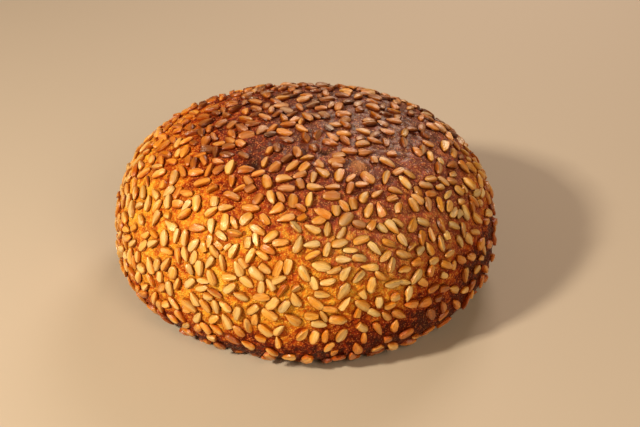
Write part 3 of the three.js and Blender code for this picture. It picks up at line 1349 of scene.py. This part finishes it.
@dataclass
class Kernels:
    """The sunflower kernels, joined as one piece."""

    shape: KernelShape
    kernels: list[Kernel]
    bake_and_shade: BakeAndShadeMap
    sides: int = 8
    bands: int = 7
    floor_gap: float = 0.2 * MM
    lumps: float = 0.11
    dish_reach: float = 0.7
    crease: float = 41.0
    streak_stretch: float = 0.22
    rim_rate: float = 0.95
    rim_core: float = 0.3
    seed: int = 5

    def balls(self) -> bpy.types.Mesh:
        """Makes the ball that a kernel is shaped from, with its poles along Z, once for each kernel.

        Returns:
            A mesh of all the balls, one after the other.
        """
        ball = bmesh.new()
        bmesh.ops.create_uvsphere(ball, u_segments=self.sides, v_segments=self.bands, radius=1.0)
        mesh = bpy.data.meshes.new("kernels")
        ball.to_mesh(mesh)
        ball.free()
        joined = bmesh.new()
        for _ in self.kernels:
            joined.from_mesh(mesh)
        joined.to_mesh(mesh)
        joined.free()
        return mesh

    def shaped(self, kernel: Kernel, ball: np.ndarray, uneven: np.ndarray) -> np.ndarray:
        """Shapes the ball to one kernel in its own axes: across, along towards the tip, and out.

        Args:
            kernel: The kernel.
            ball: The ball's vertices.
            uneven: A factor for each vertex that makes the skin uneven.

        Returns:
            The kernel's vertices.
        """
        x, z, pole = ball.T
        along = np.clip(pole, -1, kernel.cut)
        ring = np.maximum(np.hypot(x, z), TINY)
        cut_ring = math.sqrt(1 - min(kernel.cut, self.shape.last) ** 2)
        inner = np.where(pole > kernel.cut, ring / cut_ring, 1.0)
        power = 2 / self.shape.flatness
        sideways = np.sign(x) * np.abs(x / ring) ** power * inner * uneven
        outwards = np.sign(z) * np.abs(z / ring) ** power * inner * uneven
        half = self.shape.length * kernel.size / 2
        across = self.shape.half_width(kernel, along) * sideways + kernel.bend * half * along**2
        out = self.shape.half_depth(kernel, along) * outwards * (1 + kernel.skew * sideways)
        out *= 1 - kernel.dish * np.maximum(0, 1 - (sideways / self.dish_reach) ** 2) * (1 - along**2)
        return np.stack([across, half * along, out], axis=-1)

    def build(self, material: bpy.types.Material) -> bpy.types.Object:
        """Makes the kernels.

        Args:
            material: Their finish.

        Returns:
            The piece.
        """
        mesh = self.balls()
        count = len(mesh.vertices) // len(self.kernels)
        ball = vertices_of(mesh)[:count]
        draw = np.random.default_rng(self.seed)
        places, lengthwise = [], []
        for kernel in self.kernels:
            local = self.shaped(kernel, ball, 1 + draw.uniform(-self.lumps, self.lumps, count))
            place = kernel.middle + local @ kernel.axes.T
            place[:, 2] += max(0.0, self.floor_gap - place[:, 2].min())
            places.append(place)
            lengthwise.append(local * (1.0, self.streak_stretch, 1.0) + draw.uniform(0, 1, 3))
        points = np.concatenate(places)
        mesh.vertices.foreach_set("co", points.ravel())
        across, out, _ = ball.T
        # Mask of each kernel's sides and underside, which the finish paints darker as shade.
        rim = 1 - self.rim_rate * out / np.maximum(np.hypot(across, out), self.rim_core)
        values = {
            "rim": np.tile(np.clip(rim, 0, 1), len(self.kernels)),
            "lengthwise": np.concatenate(lengthwise),
            # Mask of the dull dust and painted sheen, which greys the painted highlight and shade of the
            # kernels on the crown.
            "dust_and_sheen": self.bake_and_shade.dust_and_sheen_at(points),
            "toast": np.repeat([k.toast for k in self.kernels], count),
            "tone": np.repeat([k.tone for k in self.kernels], count),
        }
        piece = new_piece("kernels", mesh, material, values)
        mesh.set_sharp_from_angle(angle=math.radians(self.crease))
        return piece


def hang(name: str, data: bpy.types.ID, place: Vector, aim: Vector) -> bpy.types.Object:
    """Puts a light or a camera into the scene so that it faces a point.

    Args:
        name: Its name.
        data: The light or the camera.
        place: Where it hangs.
        aim: The point that it faces.

    Returns:
        The object.
    """
    made = bpy.data.objects.new(name, data)
    made.location = place
    made.rotation_euler = (aim - place).to_track_quat("-Z", "Y").to_euler()
    bpy.context.scene.collection.objects.link(made)
    return made


@dataclass(frozen=True)
class SoftLight:
    """A square studio light."""

    name: str
    place: tuple[float, float, float]
    size: float
    watts: float
    colour: str

    def build(self, aim: Vector) -> bpy.types.Object:
        """Hangs the light so that it faces a point.

        Args:
            aim: The point.

        Returns:
            The light.
        """
        lamp = bpy.data.lights.new(self.name, "AREA")
        lamp.size = self.size
        lamp.energy = self.watts
        lamp.color = linear(self.colour)[:3]
        return hang(self.name, lamp, Vector(self.place), aim)


@dataclass
class Studio:
    """The plain pale floor, the soft lights and the camera."""

    target_height: float = 45 * MM
    distance: float = 0.6
    elevation: float = 32.0
    lens: float = 61.67
    nearest: float = 10 * MM
    aside: float = 6.95 * MM
    below: float = 7.0 * MM
    floor_half: float = 2.0
    floor: str = "BDB5AA"
    floor_drop: float = 0.1 * MM
    floor_roughness: float = 0.8
    sky: str = "FFC486"
    sky_strength: float = 0.13
    lights: tuple[SoftLight, ...] = (
        SoftLight("key", (-0.7, -0.46, 0.68), 0.12, 12.8, "FFE8C6"),
        SoftLight("window", (0.3, 0.76, 0.7), 0.4, 5.0, "FFE6D0"),
        SoftLight("front", (0.4, -0.75, 0.7), 0.4, 4.0, "FFE2BC"),
    )

    def add_floor(self) -> bpy.types.Object:
        """Lays the floor.

        Returns:
            The floor.
        """
        net = bmesh.new()
        lower = Matrix.Translation((0, 0, -self.floor_drop))
        bmesh.ops.create_grid(net, x_segments=2, y_segments=2, size=self.floor_half, matrix=lower)
        mesh = bpy.data.meshes.new("floor")
        net.to_mesh(mesh)
        net.free()
        material, sheet, shader = new_material("floor")
        sheet.fill(shader, {"Base Color": linear(self.floor), "Roughness": self.floor_roughness})
        return new_piece("floor", mesh, material, {})

    def add_sky(self) -> None:
        """Sets the even light from all round."""
        world = bpy.data.worlds.new("studio")
        world.use_nodes = True
        background = world.node_tree.nodes["Background"]
        sky = {"Color": linear(self.sky), "Strength": self.sky_strength}
        NodeSheet(world.node_tree).fill(background, sky)
        bpy.context.scene.world = world

    def add_camera(self, target: Vector) -> bpy.types.Object:
        """Sets up the camera at the photograph's viewing angle.

        Args:
            target: The point that it turns about.

        Returns:
            The camera.
        """
        lens = bpy.data.cameras.new("camera")
        lens.lens = self.lens
        lens.clip_start = self.nearest
        rise = math.radians(self.elevation)
        place = target + self.distance * Vector((0, -math.cos(rise), math.sin(rise)))
        upwards = Vector((0, math.sin(rise), math.cos(rise)))
        aim = target + self.aside * Vector((1, 0, 0)) - self.below * upwards
        camera = hang("camera", lens, place, aim)
        bpy.context.scene.camera = camera
        return camera

    def build(self) -> None:
        """Sets up the floor, the light and the camera."""
        target = Vector((0, 0, self.target_height))
        self.add_floor()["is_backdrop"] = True
        self.add_sky()
        for light in self.lights:
            light.build(target)
        self.add_camera(target)
        view = bpy.context.scene.view_settings
        view.view_transform = "Standard"
        view.look = "None"


def main() -> None:
    """Builds the loaf's pieces and the studio."""
    logging.basicConfig(level=logging.INFO, format="%(message)s")
    form = LoafForm()
    shape = KernelShape()
    scatter = KernelScatter(form, shape)
    kernels = scatter.placed()
    kernel_bake_and_shade = KernelBakeAndShadeMap()
    baked = kernel_bake_and_shade.at(np.array([kernel.middle for kernel in kernels]))
    KernelVariety().apply(kernels, baked, scatter.first_count)
    effects = Effects()
    crust = Crust(form, shape, kernels, BakeAndShadeMap(), scatter.marks)
    pieces = {
        "crust": crust.build(CrustFinish().material(effects)),
        "kernel": Kernels(shape, kernels, kernel_bake_and_shade).build(KernelFinish().material(effects)),
    }
    for slot, piece in pieces.items():
        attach(piece, BODY)
        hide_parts(NODE)
        triangles = sum(len(face.vertices) - 2 for face in piece.data.polygons)
        LOG.info("%s: %d triangles", piece.name, triangles)
    LOG.info("%d kernels", len(kernels))
    Studio().build()
    boxes = {"cad": cad_box, "visual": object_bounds()}
    json.dumps({k: [list(map(float, corner)) for corner in box] for k, box in boxes.items()})


if __name__ == "__main__":
    main()
